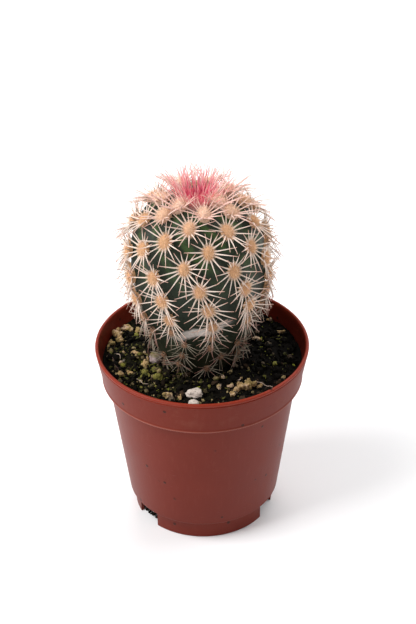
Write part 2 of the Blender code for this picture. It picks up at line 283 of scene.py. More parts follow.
def between(value, low, high):
    """0 below low, 1 above high and a soft step between; low may be above high."""
    settings = {"interpolation_type": "SMOOTHSTEP"}
    inputs = {"Value": value, "From Min": low, "From Max": high}
    return value.node("ShaderNodeMapRange", settings, inputs)


def blend_colours(factor, first, second, how="MIX"):
    """One colour over another; a colour is three numbers or a wire."""
    colours = [c if isinstance(c, Wire) else (*c, 1.0) for c in (first, second)]
    settings = {"data_type": "RGBA", "blend_type": how}
    return factor.node("ShaderNodeMix", settings, {0: factor, 6: colours[0], 7: colours[1]}, 2)


def layered(colour, *layers):
    """Lays colours over one another; a layer is (mask, colour)."""
    for mask, over in layers:
        colour = blend_colours(mask, colour, over)
    return colour


def stretched(place, along):
    """The place with each axis multiplied by its own number."""
    return place.node("ShaderNodeMapping", {}, {"Vector": place, "Scale": along})


def axis_of(place, axis):
    return place.node("ShaderNodeSeparateXYZ", {}, {"Vector": place}, axis)


def new_finish(name, gloss):
    """A material; gives it with the place on the piece in millimetres."""
    finish = bpy.data.materials.new(name)
    finish.use_nodes = True
    shader = finish.node_tree.nodes["Principled BSDF"]
    shader.inputs["Specular IOR Level"].default_value = gloss
    own_place = Wire(finish.node_tree).node("ShaderNodeTexCoord", output="Object")
    return finish, stretched(own_place, (1000.0, 1000.0, 1000.0))


def feed(finish, colour, roughness, height=None, depth=0.0):
    """Links a finish's colour, roughness and bump; depth is the bump's height of 1 in metres."""
    wires = {"Base Color": colour, "Roughness": roughness}
    if height:
        wires["Normal"] = height.node("ShaderNodeBump", {}, {"Height": height, "Distance": depth})
    for name, wire in wires.items():
        wire.tree.links.new(wire.socket, finish.node_tree.nodes["Principled BSDF"].inputs[name])


print("patterns: noise, cells, steps and blends")


# %% The table's white
table_white, place = new_finish("table_white", 0.2)
cloudy = noise_at(place, 0.004)
colour = blend_colours(cloudy, (0.93, 0.93, 0.94), (0.90, 0.90, 0.905))
feed(table_white, colour, 0.6 + 0.15 * cloudy)
table.data.materials.append(table_white)
print("finish:", table_white.name)

# %% [markdown]
# ## Working by hand
#
# New pieces are modelled as in the window: a primitive is added, shaped in edit mode, and
# finished with modifiers. These helpers hold the clicks that every piece needs. An operator
# acts on all that is selected, so each step first deselects everything.


# %% Helpers for modelling
def pick(*pieces):
    """Selects only these pieces and makes the first one active."""
    bpy.ops.object.select_all(action="DESELECT")
    for piece in pieces:
        piece.select_set(True)
    bpy.context.view_layer.objects.active = pieces[0]


def start(add, name, **settings):
    """Adds a primitive with nothing else selected, sets its place into its mesh, names it."""
    bpy.ops.object.select_all(action="DESELECT")
    add(**settings)
    bpy.ops.object.transform_apply(location=True, rotation=True, scale=True)
    piece = bpy.context.object
    piece.name = name
    piece.data.name = name
    return piece


def edit(piece, mode, choose="DESELECT"):
    """Goes into edit mode with nothing or all selected; mode is VERT, EDGE or FACE."""
    pick(piece)
    bpy.ops.object.mode_set(mode="EDIT")
    bpy.ops.mesh.select_mode(type=mode)
    bpy.ops.mesh.select_all(action=choose)


def leave():
    """Goes back to object mode."""
    bpy.ops.object.mode_set(mode="OBJECT")


def select_points(piece, wanted):
    """In edit mode, selects the points whose place is wanted."""
    bpy.ops.mesh.select_all(action="DESELECT")
    bm = bmesh.from_edit_mesh(piece.data)
    for point in bm.verts:
        point.select_set(wanted(point.co))
    bm.select_flush_mode()
    bmesh.update_edit_mesh(piece.data)


def shape_with(piece, kind, **settings):
    """Adds a modifier, sets it and applies it."""
    modifier = piece.modifiers.new(kind, kind)
    for name, value in settings.items():
        setattr(modifier, name, value)
    pick(piece)
    bpy.ops.object.modifier_apply(modifier=modifier.name)


def smooth(piece, angle=60.0):
    pick(piece)
    bpy.ops.object.shade_smooth_by_angle(angle=math.radians(angle))


def roughen(piece, size, height, depth=1, **settings):
    """Pushes the surface in and out by clouds of this size, as deep as height."""
    pattern = bpy.data.textures.new(piece.name + "_clouds", "CLOUDS")
    pattern.noise_scale = size
    pattern.noise_depth = depth
    settings = {"mid_level": 0.5, "texture_coords": "LOCAL", **settings}
    shape_with(piece, "DISPLACE", texture=pattern, strength=height, **settings)


def draw_line(name, places):
    """Draws one point after another, joined by edges, and stays in edit mode."""
    piece = start(bpy.ops.mesh.primitive_plane_add, name, size=MM)
    edit(piece, "VERT", "SELECT")
    bpy.ops.mesh.merge(type="CENTER")
    bpy.ops.transform.translate(value=places[0])
    for last, place in zip(places, places[1:]):
        bpy.ops.mesh.extrude_vertices_move(TRANSFORM_OT_translate={"value": place - last})
    return piece


def tell(piece):
    """Prints a finished piece's triangles and box in millimetres."""
    piece.data.calc_loop_triangles()
    corners = np.array([corner[:] for corner in piece.bound_box]) / MM
    low, high = corners.min(0).round(1).tolist(), corners.max(0).round(1).tolist()
    print(piece.name, len(piece.data.loop_triangles), "triangles, from", low, "to", high)


def settle(piece, finish, slot, *nodes):
    """Gives a finished piece its finish and body, and hides the plain nodes it stands for; the slot
    is not used.
    """
    piece.data.materials.clear()
    piece.data.materials.append(finish)
    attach(piece, "root")
    if nodes:
        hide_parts(*nodes)
    tell(piece)


print("helpers for picking, editing, shaping and finishing")


# %% [markdown]
# ## The pot
#
# A nursery pot is moulded in one go, with a wall of less than a millimetre. It has a rolled lip,
# a wider collar that fingers and trays hold, a tapered body and a small skirt to stand on. It
# could be an extruded cylinder, but every step of it is round, so it is turned instead: half
# of the outline is drawn point by point with extrude, and spin turns it once round. The three
# drain notches and the slots behind them are then cut with blocks.


# %% Turning helper
def turn_outline(name, points, steps):
    """Draws (radius, height) points one after another and spins them round the Z axis."""
    piece = draw_line(name, [Vector((radius, 0.0, height)) for radius, height in points])
    bpy.ops.mesh.select_all(action="SELECT")
    bpy.ops.mesh.spin(steps=steps, angle=2.0 * math.pi, center=(0, 0, 0), axis=(0, 0, 1))
    bpy.ops.mesh.select_all(action="SELECT")
    bpy.ops.mesh.remove_doubles(threshold=0.001 * MM)
    bpy.ops.mesh.normals_make_consistent(inside=False)
    leave()
    return piece


def arc_points(radius, height, bend, first, last, steps=5):
    """Points on a round corner: its centre, its bend radius and its angles in degrees."""
    points = []
    for step in range(steps + 1):
        angle = math.radians(first + (last - first) * step / steps)
        points.append((radius + bend * math.cos(angle), height + bend * math.sin(angle)))
    return points


print("a round corner has", len(arc_points(0.0, 0.0, MM, 0.0, 90.0)), "points")


# %% Outline of the pot
WALL = 0.85 * MM
LIP_BEND = 0.45 * MM
COLLAR_TOP = (RIM_RADIUS - 0.2 * MM, RIM_HEIGHT - 1.25 * MM)
COLLAR_FOOT = (25.95 * MM, 40.4 * MM)
BODY_TOP = (24.35 * MM, 39.3 * MM)
BODY_FOOT = (19.95 * MM, 5.6 * MM)
SKIRT_TOP = (18.5 * MM, 4.9 * MM)
FLOOR_TOP = 6.1 * MM
FLOOR_BOTTOM = 5.1 * MM


def wall_at(height, top, foot):
    """The outer radius at a height on a straight wall between two points."""
    share = (height - foot[1]) / (top[1] - foot[1])
    return foot[0] + share * (top[0] - foot[0])


def beside(corner, out, up):
    """A point beside a corner of the outline, so many mm further out and up."""
    return corner[0] + out * MM, corner[1] + up * MM


def pot_outline():
    """From the middle of the floor up the inside, over the lip and down the outside."""
    wall = WALL / MM
    floor_edge = (wall_at(FLOOR_TOP, BODY_TOP, BODY_FOOT) - WALL - 0.15 * MM, FLOOR_TOP)
    floor_end = (SKIRT_TOP[0] - WALL, FLOOR_BOTTOM)
    inside = [(0.0, FLOOR_TOP)]
    inside += arc_points(*beside(floor_edge, -1.0, 1.0), 1.0 * MM, -90.0, 0.0)
    inside += [beside(BODY_TOP, -wall, 0.4), beside(BODY_TOP, 0.2 - wall, 0.8)]
    inside += [beside(COLLAR_FOOT, -0.2 - wall, 0.5), beside(COLLAR_FOOT, -wall, 0.9)]
    inside += [beside(COLLAR_TOP, -wall, -1.0)]
    lip = arc_points(RIM_RADIUS - LIP_BEND, RIM_HEIGHT - LIP_BEND, LIP_BEND, 180.0, -40.0, 10)
    groove = [(COLLAR_TOP[0] - 0.08 * MM, RIM_HEIGHT - 0.95 * MM)]
    ring = arc_points(*beside(COLLAR_TOP, -0.15, -0.05), 0.2 * MM, 60.0, -60.0)
    collar = [beside(COLLAR_TOP, -0.05, -0.45), beside(COLLAR_FOOT, -0.02, 0.75)]
    collar += arc_points(*beside(COLLAR_FOOT, -0.22, 0.1), 0.32 * MM, 50.0, -75.0)
    step = [beside(BODY_TOP, out, up) for out, up in ((0.3, 0.35), (0.08, 0.15), (0.0, -0.3))]
    foot = arc_points(*beside(BODY_FOOT, -0.5, 0.3), 0.5 * MM, -8.0, -80.0)
    skirt = [beside(SKIRT_TOP, 0.12, 0.1), beside(SKIRT_TOP, 0.0, -0.15)]
    skirt += arc_points(SKIRT_TOP[0] - 0.25 * MM, 0.25 * MM, 0.25 * MM, 0.0, -90.0)
    under = arc_points(floor_end[0] + 0.15 * MM, 0.15 * MM, 0.15 * MM, -90.0, -180.0)
    under += [beside(floor_end, 0.0, -0.4), beside(floor_end, -0.4, 0.0), (0.0, FLOOR_BOTTOM)]
    return inside + lip + groove + ring + collar + step + foot + skirt + under


pot = turn_outline("pot_shell", pot_outline(), 180)
print("outline of", len(pot_outline()), "points")

# %% Drain notches
DRAINS = 3
FIRST_DRAIN = math.radians(-54.0)
NOTCH = (3.0 * MM, 7.6 * MM, 4.7 * MM)
SLOT = (4.5 * MM, 5.6 * MM, 3.0 * MM)
SLOT_RADIUS = 14.75 * MM


def cut_block(piece, size, radius, height, azimuth):
    """Cuts a rounded block (deep, wide, high) out of a piece, at a radius and an azimuth."""
    outward = Vector((math.sin(azimuth), -math.cos(azimuth), 0.0))
    turn = azimuth - math.pi / 2.0
    shape = {"size": 1.0, "scale": size, "rotation": (0.0, 0.0, turn)}
    place = outward * radius + Vector((0.0, 0.0, height))
    block = start(bpy.ops.mesh.primitive_cube_add, "cutter", location=place, **shape)
    edit(block, "EDGE", "SELECT")
    bpy.ops.mesh.bevel(offset=0.5 * MM, segments=3)
    leave()
    shape_with(piece, "BOOLEAN", operation="DIFFERENCE", solver="EXACT", object=block)
    bpy.data.objects.remove(block)


for number in range(DRAINS):
    azimuth = FIRST_DRAIN + number * 2.0 * math.pi / DRAINS
    cut_block(pot, NOTCH, SKIRT_TOP[0], NOTCH[2] / 2.0 - 0.6 * MM, azimuth)
    cut_block(pot, SLOT, SLOT_RADIUS, (FLOOR_TOP + FLOOR_BOTTOM) / 2.0, azimuth)
smooth(pot, 40.0)
print("notches and slots:", DRAINS)

# %% [markdown]
# The plastic is a strong red-brown with a dull gloss. It has faint upright streaks from the
# mould, small scuffs, a few specks of dried soil and a pale film of lime under the rim. A pale
# line is painted on as a highlight along the ledge under the collar and the top of the skirt.

# %% Plastic of the pot
pot_plastic, place = new_finish("pot_plastic", 0.14)
height = axis_of(place, "Z")
mottle = noise_at(place, 0.09, 4.0)
streaks = noise_at(stretched(place, (1.0, 1.0, 0.06)), 1.4, 4.0, 0.7)
scuffs = between(noise_at(stretched(place, (0.6, 0.6, 2.4)), 0.55, 6.0, 0.75), 0.62, 0.72)
specks = between(cells_at(place, 0.21), 0.115, 0.080) * between(noise_at(place, 0.13), 0.40, 0.50)
lime = between(noise_at(place, 0.22, 5.0, 0.7), 0.5, 0.75) * between(height, 36.0, 47.0)
grain = noise_at(place, 5.0, 2.0)
# Painted highlight: a pale line along the ledge under the collar and along the top of the skirt
ledge = abs(height - (COLLAR_FOOT[1] / MM + 0.05))
skirt_edge = abs(height - SKIRT_TOP[1] / MM)
painted_edge_highlight = between(ledge, 0.35, 0.12) + between(skirt_edge, 0.30, 0.10)
colour = layered(
    blend_colours(mottle, (0.135, 0.0145, 0.0060), (0.165, 0.0205, 0.0100)),
    (0.25 * between(streaks, 0.5, 0.8), (0.22, 0.045, 0.028)),
    (0.25 * scuffs, (0.26, 0.075, 0.050)),
    (0.12 * lime, (0.36, 0.18, 0.12)),
    (between(height, 48.4, 49.4) * 0.6, (0.28, 0.030, 0.012)),
    # painted highlight along the collar ledge and the skirt's top edge
    (painted_edge_highlight * (0.15 + 0.45 * mottle), (0.42, 0.16, 0.12)),
    (0.9 * specks, (0.030, 0.008, 0.004)),
)
dull = 0.36 + 0.12 * mottle + 0.12 * scuffs + 0.1 * lime
height = 0.25 * grain + 0.5 * streaks + 0.5 * scuffs + 0.8 * specks
feed(pot_plastic, colour, dull, height, 0.03 * MM)
settle(pot, pot_plastic, "pot_plastic", "pot")

# %% [markdown]
# ## The stem
#
# The stem grew as one piece. It could be carved from a sphere, but the ribs wind round it, so
# it is drawn ring by ring instead: a ring has two corners for each rib, one on the crest and
# one in the groove. Each new ring is extruded from the last one, resized to the outline and
# turned a little, most of all near the tip, and its grooves are pushed in. Subdivision then
# rounds the coarse cage.

# %% How the ribs wind
RIBS = 10
RIB_DEPTH = 1.5 * MM
RIB_AZIMUTH = math.radians(19.0)
RIB_WIND = math.radians(172.0)
RIB_UNWIND = 12.0 * MM
WAVERS = ((math.radians(-6.0), 17.0 * MM, 4.0 * MM), (math.radians(9.0), 8.0 * MM, 2.2 * MM))


def soft_step(low, high, value):
    share = min(1.0, max(0.0, (value - low) / (high - low)))
    return share * share * (3.0 - 2.0 * share)


def rib_turn(arc):
    """The azimuth of the first rib's crest at an arc."""
    wavers = [turn * math.exp(-(((arc - middle) / reach) ** 2)) for turn, middle, reach in WAVERS]
    return RIB_AZIMUTH - RIB_WIND * math.exp(-arc / RIB_UNWIND) + sum(wavers)


def rib_depth(arc):
    """The ribs rise below the tip and fade out on the neck."""
    grown = soft_step(4.0 * MM, 16.0 * MM, arc)
    return RIB_DEPTH * grown * (1.0 - 0.8 * soft_step(42.0 * MM, 53.0 * MM, arc))


def cage_radii(arc):
    """Crest and groove radii of the cage; subdivision draws both towards their middle."""
    depth = rib_depth(arc)
    swell = 1.0 + (1.0 - math.cos(math.pi / RIBS)) / 3.0
    return (radius_at(arc) + depth) * swell, (radius_at(arc) - 2.0 * depth) * swell


print("ribs:", RIBS, "of", RIB_DEPTH / MM, "mm")


# %% Rings of the stem
RING_ARCS = [1.1 * MM + 2.0 * MM * ring for ring in range(29)] + [STEM_LENGTH]
stem = start(
    bpy.ops.mesh.primitive_circle_add,
    "cactus_stem",
    vertices=2 * RIBS,
    radius=cage_radii(RING_ARCS[0])[0],
    fill_type="TRIFAN",
    location=STEM_AXIS + Vector((0.0, 0.0, height_at(RING_ARCS[0]))),
    rotation=(0.0, 0.0, rib_turn(RING_ARCS[0])),
)
print("rings to draw:", len(RING_ARCS))


# %% Extrude the rings
def above_axis(arc):
    """The middle of the ring at an arc."""
    return STEM_AXIS + Vector((0.0, 0.0, height_at(arc)))


def azimuth_of(point):
    return math.atan2(point.x - STEM_AXIS.x, STEM_AXIS.y - point.y)


edit(stem, "EDGE")
bpy.ops.mesh.select_non_manifold()
for last, arc in zip(RING_ARCS, RING_ARCS[1:]):
    growth = cage_radii(arc)[0] / cage_radii(last)[0]
    # With no window, rotate turns the other way round
    turn = rib_turn(last) - rib_turn(arc)
    drop = above_axis(arc) - above_axis(last)
    bpy.ops.mesh.extrude_edges_move(TRANSFORM_OT_translate={"value": drop})
    bpy.ops.transform.resize(value=(growth, growth, 1.0), center_override=above_axis(arc))
    bpy.ops.transform.rotate(value=turn, orient_axis="Z", center_override=above_axis(arc))
FOOT_DEPTH = 2.2 * MM
bpy.ops.mesh.extrude_edges_move(TRANSFORM_OT_translate={"value": (0.0, 0.0, -FOOT_DEPTH)})
bpy.ops.transform.resize(value=(0.8, 0.8, 1.0), center_override=STEM_AXIS)
bpy.ops.mesh.edge_face_add()
print("the foot ends", FOOT_DEPTH / MM, "mm below the soil")

# %% Push the grooves in and lift the tip
bpy.ops.mesh.select_mode(type="VERT")
for arc in RING_ARCS:
    crest, groove = cage_radii(arc)
    level = height_at(arc)
    select_points(
        stem,
        lambda point: abs(point.z - level) < 0.01 * MM
        and math.cos(RIBS * (azimuth_of(point) - rib_turn(arc))) < 0.0,
    )
    inward = groove / crest
    bpy.ops.transform.resize(value=(inward, inward, 1.0), center_override=above_axis(arc))
select_points(stem, lambda point: (point - above_axis(RING_ARCS[0])).length < 0.1 * MM)
bpy.ops.transform.translate(value=(0.0, 0.0, STEM_TIP - height_at(RING_ARCS[0])))
bpy.ops.mesh.select_all(action="SELECT")
bpy.ops.mesh.normals_make_consistent(inside=False)
leave()
shape_with(stem, "SUBSURF", levels=1, render_levels=1)
print("cage of the stem:", len(stem.data.polygons), "faces")

# %% [markdown]
# ## Where the areoles sit
#
# An areole is the small cushion on a rib that all spines grow from. Each rib carries a row of
# them, 5.65 mm apart, and closer together on the old neck. Each rib's row starts a little
# further down than its neighbour's, which gives the plant its spirals. The skin swells a little
# under each areole; proportional editing draws that swelling out of the cage.

# %% Rows of areoles
PITCH = 5.65 * MM
OLD_PITCH = 4.2 * MM
OLD_FROM = 6.1
FIRST_AREOLE = 4.6 * MM
RIB_SHIFT = 0.3
TOP_ROW = 0.78
YOUNGEST = 0.15
OLD_WANDER = math.radians(9.0)
AREOLES_IN_MODEL = 5


def areoles_on(rib):
    """The (arc, azimuth) of each areole on a rib, from the youngest one to the soil."""
    places = []
    row = (RIB_SHIFT * rib - TOP_ROW) % 1.0 + TOP_ROW - 1.0
    while True:
        arc = FIRST_AREOLE + PITCH * min(row, OLD_FROM) + OLD_PITCH * max(0.0, row - OLD_FROM)
        if arc > STEM_LENGTH - 1.0 * MM:
            return places
        wander = OLD_WANDER * soft_step(38.0 * MM, 46.0 * MM, arc) * math.sin(3.7 * rib + 2.3 * row)
        if row >= YOUNGEST:
            places.append((arc, rib_turn(arc) + rib * 2.0 * math.pi / RIBS + wander))
        row += 1.0


AREOLES = {rib: areoles_on(rib) for rib in range(RIBS)}
print("areoles:", sum(len(places) for places in AREOLES.values()))

# %% Swell the skin under each areole
SWELLING = 0.45 * MM
SWELLING_REACH = 2.7 * MM
edit(stem, "VERT")
for places in AREOLES.values():
    for arc, azimuth in places:
        here = skin_frame(arc, azimuth)
        spot = here.translation
        select_points(stem, lambda point: (point - spot).length < 1.1 * MM)
        bpy.ops.transform.translate(
            value=here.col[2].xyz * SWELLING,
            use_proportional_edit=True,
            proportional_edit_falloff="SMOOTH",
            proportional_size=SWELLING_REACH,
        )
leave()
shape_with(stem, "SUBSURF", levels=2, render_levels=2)
smooth(stem)
stem_skin = BVHTree.FromObject(stem, bpy.context.evaluated_depsgraph_get())


def on_skin(arc, azimuth):
    """The axes at a place, moved out or in to lie on the modelled skin."""
    here = skin_frame(arc, azimuth)
    out = here.col[2].xyz
    hit = stem_skin.ray_cast(here.translation + out * 5.0 * MM, -out)[0]
    here.translation = hit or here.translation
    return here


tell(stem)


# %% [markdown]
# The skin is a dull dark green, fresher in the grooves near the crown and greyer with age.
# Tiny pale dots cover it. Low on the front an old wound has closed with a strip of pale cork.
# Three numbers on each point of the mesh tell the finish how deep in a groove it is, how near
# the woolly tip, and how far down.

# %% Marks for the skin
def mark(piece, name, numbers):
    """Stores one number for each point of a piece, for its finish to read."""
    layer = piece.data.attributes.new(name, "FLOAT", "POINT")
    layer.data.foreach_set("value", np.asarray(numbers, np.float32))


def groove_share(point):
    """0 on a crest and 1 in a groove."""
    arc = float(np.interp(-point.z, -OUTLINE[2], OUTLINE[0]))
    return 0.5 - 0.5 * math.cos(RIBS * (azimuth_of(point) - rib_turn(arc)))


def wool_share(point):
    """1 at the tip and 0 some 7 mm away from it."""
    away = (point - Vector((STEM_AXIS.x, STEM_AXIS.y, STEM_TIP))).length
    return 1.0 - soft_step(3.0 * MM, 7.0 * MM, away)


mark(stem, "groove", [groove_share(vertex.co) for vertex in stem.data.vertices])
mark(stem, "wool", [wool_share(vertex.co) for vertex in stem.data.vertices])
depths = [STEM_TIP - vertex.co.z for vertex in stem.data.vertices]
mark(stem, "down", np.array(depths) / (STEM_TIP - SOIL_HEIGHT))
print("marks: groove, wool and down")


def marked(place, name):
    """The number that a piece's points carry under this name."""
    return place.node("ShaderNodeAttribute", {"attribute_name": name}, output="Fac")


# %% Skin of the stem
CORK_MIDDLE = (0.0, -13.0, 60.9)
CORK_SLOPE = 0.30
cactus_skin, place = new_finish("cactus_skin", 0.2)
groove = marked(place, "groove")
down = marked(place, "down")
soft = noise_at(place, 0.35, 4.0)
fine = noise_at(place, 2.2, 3.0)
dots = between(cells_at(place, 2.6), 0.22, 0.12)
fresh = between(groove, 0.55, 1.0) * between(down, 0.52, 0.1) * between(soft, 0.3, 0.6)
colour = layered(
    blend_colours(soft, (0.010, 0.017, 0.010), (0.022, 0.032, 0.018)),
    (0.9 * fresh, (0.050, 0.095, 0.028)),
    (0.5 * between(down, 0.6, 1.0), (0.040, 0.036, 0.018)),
    (0.25 * dots, (0.10, 0.13, 0.09)),
)
across = axis_of(place, "X") - CORK_MIDDLE[0]
rise = axis_of(place, "Z") - CORK_MIDDLE[2] - CORK_SLOPE * across + 2.2 * (soft - 0.5)
band = between(abs(rise), 1.8, 0.7)
reach = between(abs(across), 9.5, 2.5)
broken = 0.25 + 0.75 * between(noise_at(place, 0.8, 5.0, 0.7) + 0.35 * reach, 0.52, 0.68)
cork = band * reach * broken * between(axis_of(place, "Y"), -2.0, -4.0)
cork_colour = blend_colours(fine, (0.46, 0.40, 0.36), (0.84, 0.77, 0.71))
wool = 0.9 * marked(place, "wool")
colour = layered(colour, (cork, cork_colour), (wool, (0.78, 0.42, 0.38)))
height = 0.6 * fine + 0.5 * soft + 0.4 * dots + 3.0 * cork
feed(cactus_skin, colour, 0.42 + 0.15 * fine + 0.35 * cork, height, 0.08 * MM)
settle(stem, cactus_skin, "cactus_skin", "stem")

# %% [markdown]
# ## The soil
#
# Peat fills the pot to 5 mm below the rim. A flat disc with a picture of soil would not hold up
# from close by, so the soil is a turned plug with many fine rings on top, and three Displace
# modifiers roughen it: mounds first, then clods, then grain. They act only on a vertex group of
# the top, so the side still follows the wall of the pot.

# %% Plug of soil
SOIL_GAP = 0.12 * MM
TOP_RINGS = 76


def soil_outline():
    """From the middle of the top out to the wall, down along it and back to the middle."""
    gap = (WALL + SOIL_GAP) / MM
    edge = wall_at(SOIL_HEIGHT, COLLAR_TOP, COLLAR_FOOT) - WALL - SOIL_GAP
    top = [(edge * ring / TOP_RINGS, SOIL_HEIGHT) for ring in range(TOP_RINGS + 1)]
    side = [beside(COLLAR_FOOT, -gap, 0.95), beside(BODY_TOP, -gap, 0.4)]
    floor_edge = wall_at(FLOOR_TOP, BODY_TOP, BODY_FOOT) - WALL - 0.15 * MM - SOIL_GAP
    side += [(floor_edge, FLOOR_TOP + 1.2 * MM), (floor_edge - 1.1 * MM, FLOOR_TOP + SOIL_GAP)]
    return top + side + [(0.0, FLOOR_TOP + SOIL_GAP)]


soil = turn_outline("soil_plug", soil_outline(), 216)
edit(soil, "VERT")
bpy.ops.object.vertex_group_add()
select_points(soil, lambda point: point.z > SOIL_HEIGHT - 0.01 * MM)
bpy.ops.object.vertex_group_assign()
leave()
top = {"direction": "Z", "vertex_group": soil.vertex_groups[0].name}
MOUNDS_CLODS_GRAIN = ((7.0, 1.2), (1.7, 0.95), (0.6, 0.55))
for size, height in MOUNDS_CLODS_GRAIN:
    roughen(soil, size * MM, height * MM, 2, **top)
smooth(soil, 80.0)
print("soil roughened", len(MOUNDS_CLODS_GRAIN), "times")

# %% Peat
potting_soil, place = new_finish("potting_soil", 0.08)
coarse = noise_at(place, 0.35, 5.0, 0.7)
fine = noise_at(place, 2.4, 4.0, 0.7)
mossy = between(noise_at(place, 0.16, 4.0), 0.50, 0.66) * between(axis_of(place, "X"), 8.0, -10.0)
colour = layered(
    blend_colours(coarse, (0.0015, 0.0012, 0.001), (0.006, 0.0045, 0.003)),
    (between(fine, 0.60, 0.78), (0.030, 0.020, 0.012)),
    (0.5 * mossy * between(fine, 0.4, 0.6), (0.055, 0.058, 0.010)),
)
feed(potting_soil, colour, 0.8 + 0.2 * coarse, fine + 0.5 * coarse, 0.35 * MM)
settle(soil, potting_soil, "potting_soil", "soil")

# %% The ground under a loose grain
soil_top = BVHTree.FromObject(soil, bpy.context.evaluated_depsgraph_get())


def ground_at(x, y):
    """The height of the soil below a place."""
    hit = soil_top.ray_cast(Vector((x, y, RIM_HEIGHT)), Vector((0.0, 0.0, -1.0)))[0]
    return hit.z if hit else SOIL_HEIGHT


print("the soil in front lies at", round(ground_at(0.0, -18.0 * MM) / MM, 1), "mm")


# %% [markdown]
# ## Crumbs, moss and sand
#
# Loose crumbs lie on the soil. They repeat hundreds of times, so each kind is modelled once with
# a few dozen faces, and copied with its own mesh, turned and sized at random. The copies are
# joined by kind. The number called luck varies their colour.


# %% Helpers for copies
GOLDEN = math.pi * (3.0 - math.sqrt(5.0))


def copy_of(model, matrix, **marks):
    """A copy of a piece with its own mesh, put in place, with marks for its finish."""
    mesh = model.data.copy()
    mesh.transform(matrix)
    twin = bpy.data.objects.new(model.name, mesh)
    bpy.context.scene.collection.objects.link(twin)
    for name, number in marks.items():
        mark(twin, name, np.full(len(mesh.vertices), number))
    return twin


def join_as(name, pieces):
    """Joins pieces into the first one and names it."""
    pick(*pieces)
    bpy.ops.object.join()
    piece = bpy.context.object
    piece.name = name
    piece.data.name = name
    return piece


def rough_lump(name, size, seed, subdivisions, lumps):
    """A ball roughened by clouds; lumps are (size, height) pairs in shares of its own size."""
    shift = Vector((seed * 0.31, seed * 0.17, seed * 0.23)) * 10.0
    shape = {"subdivisions": subdivisions, "radius": 0.5 * size, "location": shift * size}
    ball = start(bpy.ops.mesh.primitive_ico_sphere_add, name, **shape)
    for share, height in lumps:
        roughen(ball, share * size, height * size)
    ball.data.transform(Matrix.Translation(-shift * size))
    return ball


def tumbled(x, y, z, scale, chance):
    """A matrix that puts a model at a place, turned any way."""
    turn = Matrix.Rotation(chance.uniform(0.0, 6.28), 4, "Z")
    turn @= Matrix.Rotation(chance.uniform(0.0, 6.28), 4, "X")
    return Matrix.Translation((x, y, z)) @ turn @ Matrix.Diagonal((*scale, 1.0))


def scattered(models, count, sizes, chance, keep=lambda x, y: True, sink=0.25):
    """Copies of the models spread over the soil and sunk into it by a share of their size."""
    spread = SOIL_EDGE - 1.0 * MM
    copies = []
    while len(copies) < count:
        away = spread * math.sqrt(chance.random())
        turn = chance.uniform(0.0, 2.0 * math.pi)
        x, y = away * math.sin(turn), -away * math.cos(turn)
        size = sizes[0] * (sizes[1] / sizes[0]) ** (chance.random() ** 1.6)
        near_stem = math.hypot(x - STEM_AXIS.x, y - STEM_AXIS.y) < NECK_RADIUS + 0.2 * size
        if near_stem or away + 0.6 * size > spread + 1.0 * MM or not keep(x, y):
            continue
        scale = [size * chance.uniform(0.7, 1.2) for _ in range(3)]
        height = ground_at(x, y) + (0.5 - sink) * size
        model = chance.choice(models)
        copies.append(copy_of(model, tumbled(x, y, height, scale, chance), luck=chance.random()))
    return copies


print("the soil is", round(2.0 * SOIL_EDGE / MM, 1), "mm across")


# %% Crumbs of peat
chance = random.Random(11)
crumb_models = [
    rough_lump(f"crumb_{seed}", 1.0, seed, 2, ((0.8, 0.9), (0.35, 0.6))) for seed in range(4)
]
loose = scattered(crumb_models, 1500, (0.35 * MM, 1.7 * MM), chance)

# A pinch of peat has washed out through the drain on the left
WASHED_OUT = 17
washed = random.Random(17)
for number in range(WASHED_OUT):
    size = washed.uniform(0.4, 1.2) * MM
    away = SKIRT_TOP[0] - washed.uniform(0.9, 3.0) * MM
    turn = FIRST_DRAIN + washed.uniform(-0.15, 0.14)
    height = 0.85 * size + washed.uniform(0.0, 1.3) * MM * number / WASHED_OUT
    here = (away * math.sin(turn), -away * math.cos(turn), height)
    scale = (size, size, size)
    model = crumb_models[number % len(crumb_models)]
    loose.append(copy_of(model, tumbled(*here, scale, washed), luck=0.3))
crumbs = join_as("peat_crumbs", loose)
smooth(crumbs, 50.0)

crumb_peat, place = new_finish("crumb_peat", 0.08)
luck = marked(place, "luck")
fine = noise_at(place, 2.0, 4.0, 0.7)
colour = layered(
    blend_colours(fine, (0.0015, 0.0012, 0.001), (0.008, 0.006, 0.004)),
    (0.8 * between(luck, 0.86, 0.90), (0.050, 0.030, 0.018)),
    (between(luck, 0.955, 0.965), (0.10, 0.075, 0.050)),
)
feed(crumb_peat, colour, 0.75 + 0.25 * fine, fine, 0.25 * MM)
settle(crumbs, crumb_peat, "potting_soil")

# %% Flecks of moss: a flat leaf, pinched at both ends and cupped
leaf = start(bpy.ops.mesh.primitive_ico_sphere_add, "leaf", subdivisions=2, radius=0.5)
edit(leaf, "VERT", "SELECT")
bpy.ops.transform.resize(value=(1.0, 0.45, 0.16), center_override=(0.0, 0.0, 0.0))
select_points(leaf, lambda point: abs(point.x) > 0.3)
bpy.ops.transform.resize(value=(1.0, 0.6, 1.0), center_override=(0.0, 0.0, 0.0))
bpy.ops.transform.translate(value=(0.0, 0.0, 0.16))
leave()

MOSSY = (-13.0 * MM, -4.0 * MM)
MOSSY_REACH = 11.0 * MM


def on_mossy_side(x, y):
    """Moss grows thickest on the left, and thinly elsewhere."""
    away = math.hypot(x - MOSSY[0], y - MOSSY[1]) / MOSSY_REACH
    return chance.random() < 0.12 + 0.88 * math.exp(-away * away)


flecks = scattered([leaf], 560, (0.45 * MM, 1.5 * MM), chance, on_mossy_side, 0.0)
moss_flecks = join_as("moss_flecks", flecks)
smooth(moss_flecks)

